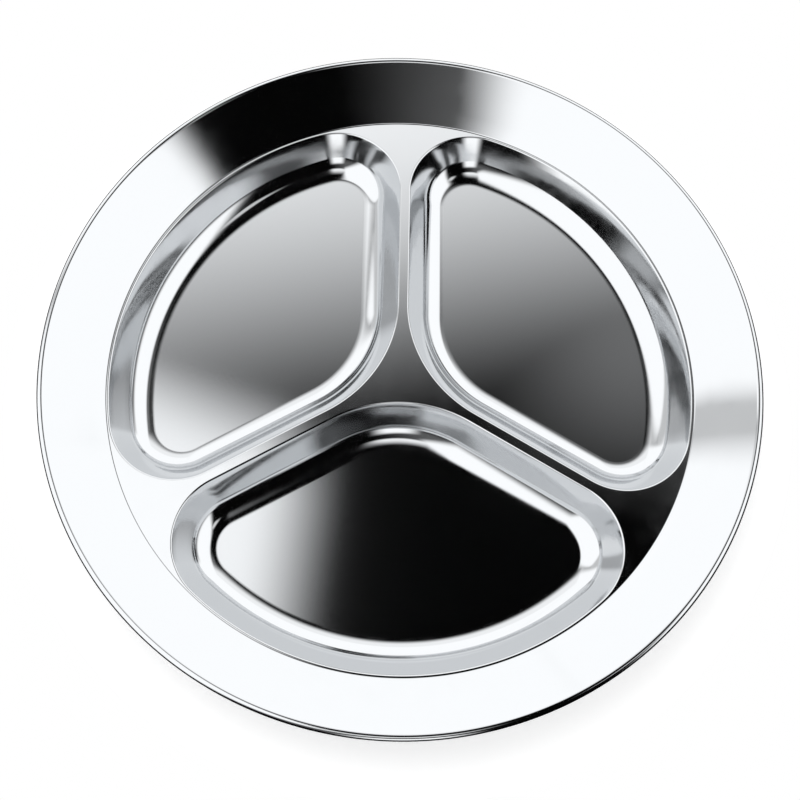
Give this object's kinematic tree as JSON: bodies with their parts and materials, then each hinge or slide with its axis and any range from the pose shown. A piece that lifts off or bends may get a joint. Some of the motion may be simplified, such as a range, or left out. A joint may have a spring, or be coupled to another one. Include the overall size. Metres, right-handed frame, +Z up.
{
  "type": "divided plate",
  "caption": "Round dinner plate pressed from stainless steel sheet, with coved compartments round a Y-shaped divider, a sloping rim and a rolled edge.",
  "frame": {"origin": "centre of the plate, on the plane that it stands on", "axes": "+Z up out of the compartments, +Y along the divider's arm that points away from the front compartment"},
  "size_m": [0.24, 0.24, 0.0277],
  "materials": {
    "polished_steel": "mirror polished",
    "satin_steel": "satin"
  },
  "bodies": {
    "root": {"rolled_edge": "polished_steel", "rim": "polished_steel", "divider": "polished_steel", "front_wall": "polished_steel", "front_floor": "satin_steel", "right_wall": "polished_steel", "right_floor": "satin_steel", "left_wall": "polished_steel", "left_floor": "satin_steel"}
  },
  "joints": []
}
